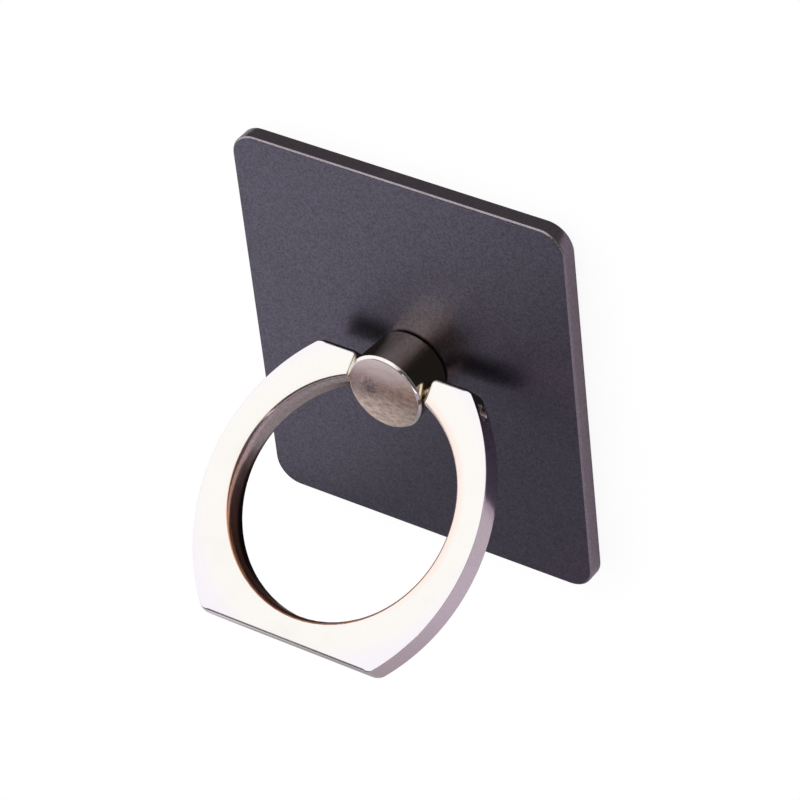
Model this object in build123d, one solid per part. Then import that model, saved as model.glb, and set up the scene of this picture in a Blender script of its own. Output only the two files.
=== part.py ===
from build123d import *
import math
import os

# A ring holder for the back of a phone: a flat plate with an adhesive pad behind it, a post that turns in
# the plate, and a finger ring that flips on a pin through the post.
# Millimetres. The origin is the centre of the adhesive face, +Z points out of the phone towards the ring,
# X runs along the hinge pin, and the ring leans towards -Y.

# Adhesive pad
PAD_THICKNESS = 0.8
PAD_INSET = 1.2
PAD_CORNER_RADIUS = 1.8

# Base plate. The web is the metal between the recess for the friction parts and the front face.
PLATE_WIDTH = 35.0
PLATE_HEIGHT = 40.0
PLATE_WEB = 0.74
PLATE_CORNER_RADIUS = 2.5
PLATE_EDGE_CHAMFER = 0.15

# Swivel post. It flares from its foot to its head, and its shank is riveted behind the plate.
POST_FOOT_DIAMETER = 7.2
POST_FLARE = 0.3
POST_ABOVE_HINGE = 1.85
POST_RIM_CHAMFER = 0.25
POST_FOOT_CHAMFER = 0.12
SHANK_DIAMETER = 4.0
RIVET_LAP = 0.7
RIVET_HEIGHT = 0.26
RIVET_CHAMFER = 0.12

# Friction parts in the plate's recess
SPRING_WIDTH = 2.05
SPRING_THICKNESS = 0.16
SPRING_CONE = 0.2
WASHER_WIDTH = 1.5
WASHER_THICKNESS = 0.22

# Hinge
HINGE_HEIGHT = 2.85
PIN_DIAMETER = 1.5
PIN_END_CHAMFER = 0.2
PIN_SUNK = 0.7
PIN_BLIND_WALL = 1.4

# Finger ring, drawn in its own plane. The drop is from the hinge axis to the edge of the finger hole.
RING_THICKNESS = 2.6
RING_HOLE_DIAMETER = 22.0
RING_HOLE_DROP = 0.55
RING_FRONT_CHAMFER = 0.5
RING_BACK_CHAMFER = 0.25
RING_SIDE_WALL = 3.05
RING_FOOT_WALL = 2.64
RING_TOP_WALL = 0.61
RING_TOP_LENGTH = 15.9
RING_FOOT_LENGTH = 17.9
RING_CORNER_RADIUS = 1.2
RING_END_RADIUS = 0.6
RING_EDGE_ROUND = 0.4
RING_REST_ANGLE = 50.5

# Clearances
SWIVEL_GAP = 0.08
SHANK_CLEARANCE = 0.05
RIVET_FIT = 0.01
SPRING_CLEARANCE = 0.02
RECESS_SIDE_CLEARANCE = 0.6
RECESS_BACK_CLEARANCE = 0.1
PIN_RUNNING_CLEARANCE = 0.04
PIN_DRIVE_FIT = 0.01
RING_END_CLEARANCE = 0.1

# Radii and walls worked out from the sizes above
SHANK_RADIUS = SHANK_DIAMETER / 2
SHANK_HOLE_RADIUS = SHANK_RADIUS + SHANK_CLEARANCE
SPRING_RADIUS = SHANK_HOLE_RADIUS + SPRING_WIDTH
SPRING_HEIGHT = SPRING_THICKNESS + SPRING_CONE
WASHER_RADIUS = SHANK_RADIUS + WASHER_WIDTH
RECESS_RADIUS = max(SPRING_RADIUS, WASHER_RADIUS) + RECESS_SIDE_CLEARANCE
RECESS_DEPTH = SPRING_CLEARANCE + SPRING_HEIGHT + WASHER_THICKNESS + RIVET_HEIGHT + RECESS_BACK_CLEARANCE
PIN_RADIUS = PIN_DIAMETER / 2
POST_FOOT_RADIUS = POST_FOOT_DIAMETER / 2
POST_HEAD_RADIUS = POST_FOOT_RADIUS + POST_FLARE

# Levels above the phone
PLATE_BACK = PAD_THICKNESS
RECESS_CEILING = PLATE_BACK + RECESS_DEPTH
PLATE_FRONT = RECESS_CEILING + PLATE_WEB
POST_FOOT = PLATE_FRONT + SWIVEL_GAP
HINGE_LEVEL = PLATE_FRONT + HINGE_HEIGHT
POST_TOP = HINGE_LEVEL + POST_ABOVE_HINGE
SPRING_TOP = RECESS_CEILING - SPRING_CLEARANCE
WASHER_TOP = SPRING_TOP - SPRING_HEIGHT
RIVET_TOP = WASHER_TOP - WASHER_THICKNESS
RIVET_BOTTOM = RIVET_TOP - RIVET_HEIGHT

# The ring's outline about the hinge axis, with +Y away from the foot
RING_HOLE_RADIUS = RING_HOLE_DIAMETER / 2
RING_HOLE_CENTRE = -(RING_HOLE_DROP + RING_HOLE_RADIUS)
RING_TOP = PIN_RADIUS + RING_TOP_WALL
RING_FOOT = RING_HOLE_CENTRE - RING_HOLE_RADIUS - RING_FOOT_WALL
RING_HALF_WIDTH = RING_HOLE_RADIUS + RING_SIDE_WALL
RING_END = POST_HEAD_RADIUS + RING_END_CLEARANCE

FROM_BELOW = (Align.CENTER, Align.CENTER, Align.MIN)
PLANE_TOLERANCE = 1e-4


def edges_at(solid, level):
    """The edges that lie in one horizontal plane."""
    return solid.edges().filter_by_position(Axis.Z, level - PLANE_TOLERANCE, level + PLANE_TOLERANCE)


def turned(corners):
    """A solid of revolution about Z from the corners of its half section, as radius and level."""
    section = Plane.XZ * make_face(Polyline(*corners, close=True))
    return revolve(section, Axis.Z)


def rounded_slab(width, height, corner_radius, bottom, top):
    """A flat slab with rounded corners between two levels."""
    outline = RectangleRounded(width, height, corner_radius)
    return extrude(Pos(0, 0, bottom) * outline, top - bottom)


def base_plate():
    """The plate, with the shank's hole and, behind it, the recess for the friction parts."""
    plate = rounded_slab(PLATE_WIDTH, PLATE_HEIGHT, PLATE_CORNER_RADIUS, PLATE_BACK, PLATE_FRONT)
    plate = chamfer(edges_at(plate, PLATE_FRONT) + edges_at(plate, PLATE_BACK), PLATE_EDGE_CHAMFER)
    recess = Cylinder(RECESS_RADIUS, RECESS_DEPTH, align=FROM_BELOW)
    hole = Cylinder(SHANK_HOLE_RADIUS, PLATE_FRONT - PLATE_BACK, align=FROM_BELOW)
    return plate - Pos(0, 0, PLATE_BACK) * (recess + hole)


def adhesive_pad():
    """The foam pad, set in from the plate's edge all round."""
    width = PLATE_WIDTH - 2 * PAD_INSET
    height = PLATE_HEIGHT - 2 * PAD_INSET
    return rounded_slab(width, height, PAD_CORNER_RADIUS, 0, PAD_THICKNESS)


def post_body():
    """The flared part of the post in front of the plate, with a bevelled rim and foot."""
    body = turned(
        [(0, POST_FOOT), (POST_FOOT_RADIUS, POST_FOOT), (POST_HEAD_RADIUS, POST_TOP), (0, POST_TOP)]
    )
    body = chamfer(edges_at(body, POST_TOP), POST_RIM_CHAMFER)
    return chamfer(edges_at(body, POST_FOOT), POST_FOOT_CHAMFER)


def post_shank():
    """The shank that turns in the plate, and its riveted end."""
    shank = Cylinder(SHANK_RADIUS, POST_FOOT - RIVET_TOP, align=FROM_BELOW)
    rivet = Cylinder(SHANK_RADIUS + RIVET_LAP, RIVET_HEIGHT, align=FROM_BELOW)
    rivet = Pos(0, 0, RIVET_BOTTOM) * rivet
    rivet = chamfer(edges_at(rivet, RIVET_BOTTOM), RIVET_CHAMFER)
    return Pos(0, 0, RIVET_TOP) * shank + rivet


def swivel_post():
    """The whole post, bored across for the hinge pin."""
    bore = Rot(0, 90, 0) * Cylinder(PIN_RADIUS + PIN_RUNNING_CLEARANCE, 2 * POST_HEAD_RADIUS)
    return post_body() + post_shank() - Pos(0, 0, HINGE_LEVEL) * bore


def disc_spring():
    """The coned spring washer that pulls the post down onto the plate."""
    return turned(
        [
            (SHANK_HOLE_RADIUS, WASHER_TOP),
            (SPRING_RADIUS, WASHER_TOP + SPRING_CONE),
            (SPRING_RADIUS, SPRING_TOP),
            (SHANK_HOLE_RADIUS, WASHER_TOP + SPRING_THICKNESS),
        ]
    )


def retaining_washer():
    """The flat washer that the post's shank is riveted over."""
    inner = SHANK_RADIUS + RIVET_FIT
    return turned(
        [(inner, RIVET_TOP), (WASHER_RADIUS, RIVET_TOP), (WASHER_RADIUS, WASHER_TOP), (inner, WASHER_TOP)]
    )


def ring_side():
    """The right side of the ring: an arc from the top, through the widest point, to the foot."""
    return ThreePointArc(
        (RING_TOP_LENGTH / 2, RING_TOP), (RING_HALF_WIDTH, RING_HOLE_CENTRE), (RING_FOOT_LENGTH / 2, RING_FOOT)
    )


def ring_outline():
    """The ring's face before it is bored: barrel sides, a flat top and foot, less the post's gap.

    Every corner is rounded, so that the edge round runs on around the whole outline.
    """
    right = ring_side()
    left = mirror(right, Plane.YZ)
    top = Line(right @ 0, left @ 0)
    foot = Line(right @ 1, left @ 1)
    barrel = make_face([right, top, left, foot])
    barrel = fillet(barrel.vertices(), RING_CORNER_RADIUS)
    gap_height = RING_TOP - RING_HOLE_CENTRE
    gap = Pos(0, RING_HOLE_CENTRE) * Rectangle(2 * RING_END, gap_height, align=(Align.CENTER, Align.MIN))
    outline = barrel - gap
    reach = RING_END + PLANE_TOLERANCE
    ends = outline.vertices().filter_by_position(Axis.X, -reach, reach)
    return fillet(ends, RING_END_RADIUS)


def finger_bore():
    """The cutter for the finger hole: a bore that opens in a 45 degree chamfer through each face."""
    face = RING_THICKNESS / 2
    front = RING_FRONT_CHAMFER
    back = RING_BACK_CHAMFER
    cutter = turned(
        [
            (0, -face - back),
            (RING_HOLE_RADIUS + 2 * back, -face - back),
            (RING_HOLE_RADIUS, back - face),
            (RING_HOLE_RADIUS, face - front),
            (RING_HOLE_RADIUS + 2 * front, face + front),
            (0, face + front),
        ]
    )
    return Pos(0, RING_HOLE_CENTRE, 0) * cutter


def side_reach_at_pin():
    """How far the ring's right side lies from the middle, on the hinge axis."""
    side = ring_side()
    centre = side.arc_center
    return centre.X + math.sqrt(side.radius**2 - centre.Y**2)


PIN_RIGHT_END = side_reach_at_pin() - PIN_SUNK
PIN_LEFT_END = PIN_BLIND_WALL - side_reach_at_pin()


def along_hinge(left_end, right_end, radius):
    """A round bar on the hinge axis."""
    bar = Cylinder(radius, right_end - left_end, align=FROM_BELOW)
    return Pos(left_end, 0, 0) * Rot(0, 90, 0) * bar


def at_rest_angle(solid):
    """Carries a piece drawn about the hinge axis to the hinge, turned to the ring's rest angle."""
    return Pos(0, 0, HINGE_LEVEL) * Rot(-RING_REST_ANGLE, 0, 0) * solid


def finger_ring():
    """The C-shaped ring: rounded around both faces, bored for the finger, then drilled for the pin."""
    face = RING_THICKNESS / 2
    blank = extrude(Pos(0, 0, -face) * ring_outline(), RING_THICKNESS)
    blank = fillet(edges_at(blank, face) + edges_at(blank, -face), RING_EDGE_ROUND)
    drill = along_hinge(PIN_LEFT_END, RING_HALF_WIDTH, PIN_RADIUS + PIN_DRIVE_FIT)
    return at_rest_angle(blank - finger_bore() - drill)


def hinge_pin():
    """The pin, driven in from the right until it is sunk below the ring's side."""
    pin = along_hinge(PIN_LEFT_END, PIN_RIGHT_END, PIN_RADIUS)
    pin = chamfer(pin.edges().filter_by(GeomType.CIRCLE), PIN_END_CHAMFER)
    return at_rest_angle(pin)


PIECES = {
    "base_plate": base_plate,
    "adhesive_pad": adhesive_pad,
    "swivel_post": swivel_post,
    "disc_spring": disc_spring,
    "retaining_washer": retaining_washer,
    "finger_ring": finger_ring,
    "hinge_pin": hinge_pin,
}

os.makedirs("parts", exist_ok=True)
for name, build in PIECES.items():
    export_step(build(), f"parts/{name}.step")
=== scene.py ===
"""Looks of the phone ring holder: finished surfaces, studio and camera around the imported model.

Sizes are in millimetres in the row frame: the adhesive back lies on z = 0, X runs along the hinge,
and the ring leans towards -Y. Meshes are put into Blender in metres.
"""
import logging
import math
from dataclasses import dataclass
from enum import Enum

import bmesh
import bpy
import numpy as np
from mathutils import Matrix, Vector


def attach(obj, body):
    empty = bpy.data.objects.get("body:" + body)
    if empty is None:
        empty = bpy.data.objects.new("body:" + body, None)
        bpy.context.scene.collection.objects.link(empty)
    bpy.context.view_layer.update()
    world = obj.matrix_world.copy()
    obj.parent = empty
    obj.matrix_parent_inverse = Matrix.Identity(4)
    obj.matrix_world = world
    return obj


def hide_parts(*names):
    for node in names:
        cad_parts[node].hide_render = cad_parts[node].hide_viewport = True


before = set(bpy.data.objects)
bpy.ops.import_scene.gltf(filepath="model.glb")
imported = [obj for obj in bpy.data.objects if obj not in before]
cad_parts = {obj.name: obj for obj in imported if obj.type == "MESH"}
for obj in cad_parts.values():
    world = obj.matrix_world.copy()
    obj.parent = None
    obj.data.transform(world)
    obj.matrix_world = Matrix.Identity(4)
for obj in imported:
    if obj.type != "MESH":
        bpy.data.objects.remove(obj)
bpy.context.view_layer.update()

Colour = tuple[float, float, float, float]
Size3 = tuple[float, float, float]
Span = tuple[float, float]
Edges = tuple[float, float, float, float]
Array = np.ndarray
Mesh = bpy.types.Mesh
Material = bpy.types.Material
Socket = bpy.types.NodeSocket
Sockets = bpy.types.bpy_prop_collection

MM = 0.001
WELD = 2e-7
SHARP_ANGLE = math.radians(40)
# The hinge axis runs along X through HINGE. At rest the ring's front looks along RING_FRONT, and
# RING_UP points from its foot to the hinge.
HINGE: Size3 = (0.0, 0.0, 5.35)
RING_FRONT: Size3 = (0.0, 0.77162, 0.63608)
RING_UP: Size3 = (0.0, 0.63608, -0.77162)
EVEN: Size3 = (1.0, 1.0, 1.0)
WHITE: Colour = (1.0, 1.0, 1.0, 1.0)
RISE: Span = (0.0, 1.0)
FALL: Span = (1.0, 0.0)
LOG = logging.getLogger("ring_holder")


class Body(Enum):
    """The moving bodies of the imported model."""

    BASE = "base"
    SWIVEL = "swivel"
    RING = "ring"


class Slot(Enum):
    """Names of the record's material slots for the pieces drawn here; nothing in this script uses them.
    """

    PLATE = "plate"
    RING = "ring"
    POST = "post"
    PIN = "pin"
    PAD = "pad"


def metres(values: tuple[float, ...]) -> tuple[float, ...]:
    """Millimetres as metres."""
    return tuple(value * MM for value in values)


def radians(values: tuple[float, ...]) -> tuple[float, ...]:
    """Degrees as radians."""
    return tuple(math.radians(value) for value in values)


def spokes(turn: Array) -> Array:
    """Unit vectors at the given angles."""
    return np.stack([np.cos(turn), np.sin(turn)], -1)


def circles(radii: Array, columns: int) -> Array:
    """One circle of flat points for each radius."""
    turn = np.linspace(0.0, 2 * np.pi, columns, endpoint=False)
    return radii[:, None, None] * spokes(turn)


def with_level(flat: Array, level: Array) -> Array:
    """Rows of flat points, each row put at its own level."""
    return np.concatenate([flat, np.broadcast_to(level[:, None, None], (*flat.shape[:2], 1))], -1)


def softened(corners: list[Span], cuts: Array, steps: int = 5) -> Array:
    """Rounds the corners of an open polyline.

    Each inner corner is cut off at a set distance along both of its edges, and the cut is bridged
    by the parabola that leaves along one edge and arrives along the other.

    Args:
        corners: Corner points.
        cuts: Distance from each inner corner at which its curve starts.
        steps: Points on each curve.

    Returns:
        The polyline's points, the two ends included.
    """
    corners = np.asarray(corners, float)
    middle, cut = corners[1:-1], cuts[:, None]
    back, ahead = corners[:-2] - middle, corners[2:] - middle
    start = middle + back / np.linalg.norm(back, axis=1)[:, None] * cut
    end = middle + ahead / np.linalg.norm(ahead, axis=1)[:, None] * cut
    t = np.linspace(0.0, 1.0, steps)[None, :, None]
    curve = (1 - t) ** 2 * start[:, None] + 2 * t * (1 - t) * middle[:, None] + t**2 * end[:, None]
    return np.concatenate([corners[:1], curve.reshape(-1, 2), corners[-1:]])


class Skin:
    """A closed surface gathered from grids of points, in millimetres."""

    def __init__(self) -> None:
        """Starts an empty surface."""
        self.points: list[Array] = []
        self.faces: list[list[int]] = []
        self.count = 0

    def _take(self, points: Array) -> int:
        """Adds points and gives the number of the first."""
        first = self.count
        self.points.append(points.reshape(-1, 3))
        self.count += self.points[-1].shape[0]
        return first

    def grid(self, points: Array, round_rows: bool = False, round_columns: bool = False) -> int:
        """Adds a grid of quads.

        Args:
            points: Rows by columns of points.
            round_rows: The last row joins the first.
            round_columns: The last column joins the first.

        Returns:
            The number of the grid's first point.
        """
        first = self._take(points)
        rows, columns = points.shape[:2]
        row = np.arange(rows if round_rows else rows - 1)[:, None]
        column = np.arange(columns if round_columns else columns - 1)
        start, next_start = row * columns, (row + 1) % rows * columns
        after = (column + 1) % columns
        corners = (start + column, start + after, next_start + after, next_start + column)
        self.faces.extend((first + np.stack(corners, -1)).reshape(-1, 4).tolist())
        return first

    def pole(self, first: int, columns: int, point: Size3) -> None:
        """Closes a round row, given by its first number and its count, with a fan to one point."""
        tip = self._take(np.array([point], float))
        ring = first + np.arange(columns)
        fan = np.stack([ring, np.roll(ring, -1), np.full(columns, tip)], -1)
        self.faces.extend(fan.tolist())

    def capped(self, rows: Array, start: Size3, end: Size3) -> "Skin":
        """Adds a grid of closed rows, with a pole before the first and one after the last."""
        first = self.grid(rows, round_columns=True)
        columns = rows.shape[1]
        self.pole(first, columns, start)
        self.pole(first + (rows.shape[0] - 1) * columns, columns, end)
        return self

    def mesh(self, name: str) -> Mesh:
        """Welds the grids together, turns every face outwards and gives a smooth mesh in metres."""
        mesh = bpy.data.meshes.new(name)
        mesh.from_pydata((np.concatenate(self.points) * MM).tolist(), [], self.faces)
        work = bmesh.new()
        work.from_mesh(mesh)
        bmesh.ops.remove_doubles(work, verts=work.verts, dist=WELD)
        bmesh.ops.dissolve_degenerate(work, edges=work.edges, dist=WELD)
        bmesh.ops.recalc_face_normals(work, faces=work.faces)
        work.to_mesh(mesh)
        work.free()
        mesh.shade_smooth()
        return mesh


class NodeTree:
    """A node tree that is filled by node type, settings and inputs."""

    SPREAD_INPUTS = ("Value", "From Min", "From Max", "To Min", "To Max")
    MIX_INPUTS = (0, 6, 7)
    MIX_RESULT = 2

    def __init__(self, tree: bpy.types.NodeTree) -> None:
        """Takes over a tree and empties it."""
        self.tree = tree
        tree.nodes.clear()

    def add(self, kind: str, inputs: dict | None = None, **settings: object) -> bpy.types.Node:
        """Adds a node.

        Args:
            kind: Type of the node.
            inputs: A value or another node's output for each input, by name or number.
            settings: The node's own properties.

        Returns:
            The node.
        """
        node = self.tree.nodes.new(kind)
        for name, value in settings.items():
            setattr(node, name, value)
        for key, value in (inputs or {}).items():
            if isinstance(value, Socket):
                self.tree.links.new(value, node.inputs[key])
            else:
                node.inputs[key].default_value = value
        return node

    def math(self, operation: str, *values: object) -> Socket:
        """Adds a Math node and gives its result."""
        return self.add("ShaderNodeMath", dict(enumerate(values)), operation=operation).outputs[0]

    def vector(self, operation: str, *values: object) -> Sockets:
        """Adds a Vector Math node and gives its outputs."""
        inputs = dict(enumerate(values))
        return self.add("ShaderNodeVectorMath", inputs, operation=operation).outputs

    def spread(self, value: object, source: Span, target: Span, smooth: bool = False) -> Socket:
        """Maps a value from one range onto another, held at both ends, eased if smooth."""
        inputs = dict(zip(self.SPREAD_INPUTS, (value, *source, *target)))
        kind = "SMOOTHSTEP" if smooth else "LINEAR"
        return self.add("ShaderNodeMapRange", inputs, interpolation_type=kind).outputs["Result"]

    def mix(self, factor: object, first: object, second: object) -> Socket:
        """Mixes two colours by a factor."""
        inputs = dict(zip(self.MIX_INPUTS, (factor, first, second)))
        return self.add("ShaderNodeMix", inputs, data_type="RGBA").outputs[self.MIX_RESULT]

    def place(self) -> Socket:
        """Object coordinates."""
        return self.add("ShaderNodeTexCoord").outputs["Object"]

    def axes(self, place: Socket) -> Sockets:
        """X, Y and Z of a place."""
        return self.add("ShaderNodeSeparateXYZ", {"Vector": place}).outputs

    def surface(self, shader: bpy.types.Node) -> None:
        """Ends a material with a shader."""
        self.add("ShaderNodeOutputMaterial", {"Surface": shader.outputs[0]})


def new_material(name: str) -> tuple[Material, NodeTree]:
    """Starts a material with no nodes."""
    made = bpy.data.materials.new(name)
    made.use_nodes = True
    return made, NodeTree(made.node_tree)


class SurfaceEffects:
    """The node groups that several finishes share. Each gives one value from a place and a size."""

    GRAIN_RANGE: Span = (0.28, 0.72)
    GRAIN_MIDDLE = 0.5
    MARKS_TOP = 0.8
    MARKS_SPAN = 0.6
    MARKS_EDGE = 0.25

    def __init__(self) -> None:
        """Builds each group once."""
        self.grain = self._grain()
        self.marks = self._marks()

    def _group(self, name: str, values: tuple[str, ...], result: str) -> tuple:
        """Starts a group and gives its nodes, what it is given and the socket of its result."""
        group = bpy.data.node_groups.new(name, "ShaderNodeTree")
        face = group.interface
        face.new_socket("Place", in_out="INPUT", socket_type="NodeSocketVector")
        for title in values:
            face.new_socket(title, in_out="INPUT", socket_type="NodeSocketFloat")
        face.new_socket(result, in_out="OUTPUT", socket_type="NodeSocketFloat")
        nodes = NodeTree(group)
        given = nodes.add("NodeGroupInput").outputs
        return nodes, given, nodes.add("NodeGroupOutput").inputs[result]

    def _noise(self, nodes: NodeTree, given: Sockets, look: dict) -> Socket:
        """Noise of the given size at the given place."""
        scale = nodes.math("DIVIDE", 1.0, given["Size"])
        inputs = {"Vector": given["Place"], "Scale": scale, **look}
        return nodes.add("ShaderNodeTexNoise", inputs).outputs["Fac"]

    def _grain(self) -> bpy.types.NodeTree:
        """Fine grain: layered noise of a set size, stretched to run from 0 to 1."""
        nodes, given, result = self._group("fine_grain", ("Size",), "Grain")
        noise = self._noise(nodes, given, {"Detail": 2.0, "Roughness": 0.6})
        nodes.tree.links.new(nodes.spread(noise, self.GRAIN_RANGE, RISE), result)
        return nodes.tree

    def _marks(self) -> bpy.types.NodeTree:
        """Handling marks: broad wavering noise, kept only where it is above a level set by the cover."""
        nodes, given, result = self._group("handling_marks", ("Size", "Cover"), "Marks")
        look = {"Detail": 3.0, "Roughness": 0.55, "Distortion": 0.6}
        noise = self._noise(nodes, given, look)
        drop = nodes.math("MULTIPLY", given["Cover"], self.MARKS_SPAN)
        low = nodes.math("SUBTRACT", self.MARKS_TOP, drop)
        high = nodes.math("ADD", low, self.MARKS_EDGE)
        nodes.tree.links.new(nodes.spread(noise, (low, high), RISE, True), result)
        return nodes.tree


@dataclass(frozen=True)
class Paint:
    """What a finish paints with: a material's nodes, the shared groups and the object coordinates."""

    nodes: NodeTree
    effects: SurfaceEffects
    place: Socket

    def grain(self, size: float, stretch: Size3 = EVEN) -> Socket:
        """Fine grain of a size, drawn out along the axes where the stretch is below 1."""
        inputs = {"Vector": self.place, "Scale": stretch}
        drawn = self.nodes.add("ShaderNodeMapping", inputs).outputs["Vector"]
        inputs = {"Place": drawn, "Size": size * MM}
        group = self.nodes.add("ShaderNodeGroup", inputs, node_tree=self.effects.grain)
        return group.outputs["Grain"]

    def marks(self, size: float, cover: float) -> Socket:
        """Handling marks of a size over a share of the surface."""
        inputs = {"Place": self.place, "Size": size * MM, "Cover": cover}
        group = self.nodes.add("ShaderNodeGroup", inputs, node_tree=self.effects.marks)
        return group.outputs["Marks"]

    def arm(self, point: Size3) -> Socket:
        """The way from a point to the place."""
        return self.nodes.vector("SUBTRACT", self.place, metres(point))["Vector"]

    def along(self, arm: Socket, direction: Size3) -> Socket:
        """How far a way reaches in a direction."""
        return self.nodes.vector("DOT_PRODUCT", arm, direction)["Value"]

    def grows(self, value: Socket, run: Span, share: float) -> Socket:
        """Rises from a share to 1 while the value passes through a run in millimetres."""
        return self.nodes.spread(value, metres(run), (share, 1.0))

    def fades(self, value: Socket, run: Span) -> Socket:
        """Falls smoothly from 1 to 0 while the value passes through a run in millimetres."""
        return self.nodes.spread(value, metres(run), FALL, True)


@dataclass(frozen=True)
class MetalFinish:
    """A plated, painted or bare metal with fine grain and handling marks.

    The grain, given by size and height, moves the colour from a dark tone to a light one and lifts
    the surface. The marks, given by size and cover, move the roughness from its first value, of the
    clean metal, to its second.
    """

    name: str
    tones: tuple[Colour, Colour]
    roughness: Span
    grain: Span
    marks: Span
    stretch: Size3 = EVEN
    edge_tint: Colour = WHITE

    def material(self, effects: SurfaceEffects) -> Material:
        """Builds the material.

        Args:
            effects: The shared node groups.

        Returns:
            The material.
        """
        made, nodes = new_material(self.name)
        paint = Paint(nodes, effects, nodes.place())
        size, height = self.grain
        grain, marks = paint.grain(size, self.stretch), paint.marks(*self.marks)
        bump = nodes.add("ShaderNodeBump", {"Height": grain, "Distance": height * MM})
        inputs = {
            "Base Color": self.tone(paint, nodes.mix(grain, *self.tones)),
            "Metallic": 1.0,
            "Specular Tint": self.edge_tint,
            "Roughness": nodes.spread(marks, RISE, self.roughness),
            "Normal": bump.outputs["Normal"],
        }
        nodes.surface(nodes.add("ShaderNodeBsdfPrincipled", inputs))
        return made

    def tone(self, paint: Paint, colour: Socket) -> Socket:
        """The colour as the grain gives it; finishes with larger tones change it.

        Args:
            paint: The material's nodes and places.
            colour: The grain's colour.

        Returns:
            The colour.
        """
        return colour


@dataclass(frozen=True)
class FaceFinish(MetalFinish):
    """Chrome with a painted warm reflection round the hole and a painted cool reflection towards the
    outer edge.

    Both tones follow the distance from the hole's axis. The warm one is weaker on the left, where
    it has only the left share, and towards the foot, where it has only the foot share.
    """

    axis_point: Size3 = (0.0, -7.347, 14.262)
    warm: Colour = (0.70, 0.60, 0.55, 1)
    warm_reflection_reach: Span = (11.4, 12.3)
    left_run: Span = (-2.0, 6.0)
    left_share: float = 0.25
    foot_run: Span = (-9.0, -3.0)
    foot_share: float = 0.15
    cool: Colour = (0.67, 0.645, 0.69, 1)
    cool_reflection_reach: Span = (13.0, 15.5)

    def tone(self, paint: Paint, colour: Socket) -> Socket:
        """Mixes the two painted reflection tones in by the distance from the hole's axis."""
        nodes, arm = paint.nodes, paint.arm(self.axis_point)
        up, across = paint.along(arm, RING_UP), nodes.axes(arm)["X"]
        squares = [nodes.math("MULTIPLY", length, length) for length in (up, across)]
        reach = nodes.math("SQRT", nodes.math("ADD", *squares))
        # Painted reflections: warm on the hole's edge, cool on the outer edge.
        warm = paint.fades(reach, self.warm_reflection_reach)
        warm = nodes.math("MULTIPLY", warm, paint.grows(across, self.left_run, self.left_share))
        warm = nodes.math("MULTIPLY", warm, paint.grows(up, self.foot_run, self.foot_share))
        cool = nodes.spread(reach, metres(self.cool_reflection_reach), RISE, True)
        return nodes.mix(cool, nodes.mix(warm, colour, self.warm), self.cool)


@dataclass(frozen=True)
class BoreFinish(MetalFinish):
    """Chrome of the bore with a painted warm reflection towards the foot, and painted shade at the back
    over more of its depth there.

    The painted shade ends at a height over the hinge that changes up the ring.
    """

    painted_warm_reflection: Colour = (0.80, 0.45, 0.27, 1)
    painted_warm_reflection_run: Span = (-18.0, -8.0)
    # Colour of the painted shade at the back of the bore.
    back: Colour = (0.10, 0.085, 0.09, 1)
    shade_run: Span = (-20.0, -6.0)
    shade_height: Span = (0.25, -1.15)
    shade_blur: Span = (-0.35, 0.35)

    def tone(self, paint: Paint, colour: Socket) -> Socket:
        """Mixes the painted warm reflection in along the ring and the painted shade by the depth."""
        nodes, arm = paint.nodes, paint.arm(HINGE)
        height, up = paint.along(arm, RING_FRONT), paint.along(arm, RING_UP)
        limit = nodes.spread(up, metres(self.shade_run), metres(self.shade_height))
        shade = paint.fades(nodes.math("SUBTRACT", height, limit), self.shade_blur)
        warm = paint.fades(up, self.painted_warm_reflection_run)
        return nodes.mix(shade, nodes.mix(warm, colour, self.painted_warm_reflection), self.back)


@dataclass(frozen=True)
class EndFinish(MetalFinish):
    """Satin end face with a painted reflection, pale on its upper part and brown with lighter streaks
    below, and dark specks between.
    """

    slope: Size3 = (-0.35, 0.937, 0.0)
    change: Span = (-0.5, 1.5)
    wave_size: float = 1.4
    wave_height: float = 0.8
    brown: Colour = (0.30, 0.205, 0.18, 1)
    streak: Colour = (0.82, 0.63, 0.51, 1)
    streak_size: float = 0.36
    streak_stretch: Size3 = (0.5, 1.0, 1.0)
    pale_share: float = 0.3
    speck: Colour = (0.12, 0.11, 0.12, 1)
    speck_place: Size3 = (-1.5, 0.1, 7.2)
    speck_reach: float = 2.6
    speck_size: float = 0.13
    speck_level: Span = (1.15, 1.6)
    speck_share: float = 0.8

    def tone(self, paint: Paint, colour: Socket) -> Socket:
        """Mixes the painted brown reflection in down the slope, then the streaks and the specks."""
        nodes = paint.nodes
        wave = nodes.math("SUBTRACT", paint.grain(self.wave_size), paint.effects.GRAIN_MIDDLE)
        wave = nodes.math("MULTIPLY", wave, self.wave_height * MM)
        height = nodes.math("ADD", paint.along(paint.place, self.slope), wave)
        # Painted reflection of a shadow edge: below a wavy line down the slope the face turns brown.
        below = paint.fades(height, self.change)
        streaks = paint.grain(self.streak_size, self.streak_stretch)
        low = nodes.mix(self.pale_share, nodes.mix(streaks, self.brown, self.streak), colour)
        gap = nodes.vector("DISTANCE", paint.place, metres(self.speck_place))["Value"]
        near = paint.fades(gap, (0.0, self.speck_reach))
        dots = nodes.math("ADD", paint.grain(self.speck_size), near)
        dark = nodes.spread(dots, self.speck_level, (0.0, self.speck_share), True)
        return nodes.mix(dark, nodes.mix(below, colour, low), self.speck)


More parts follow.
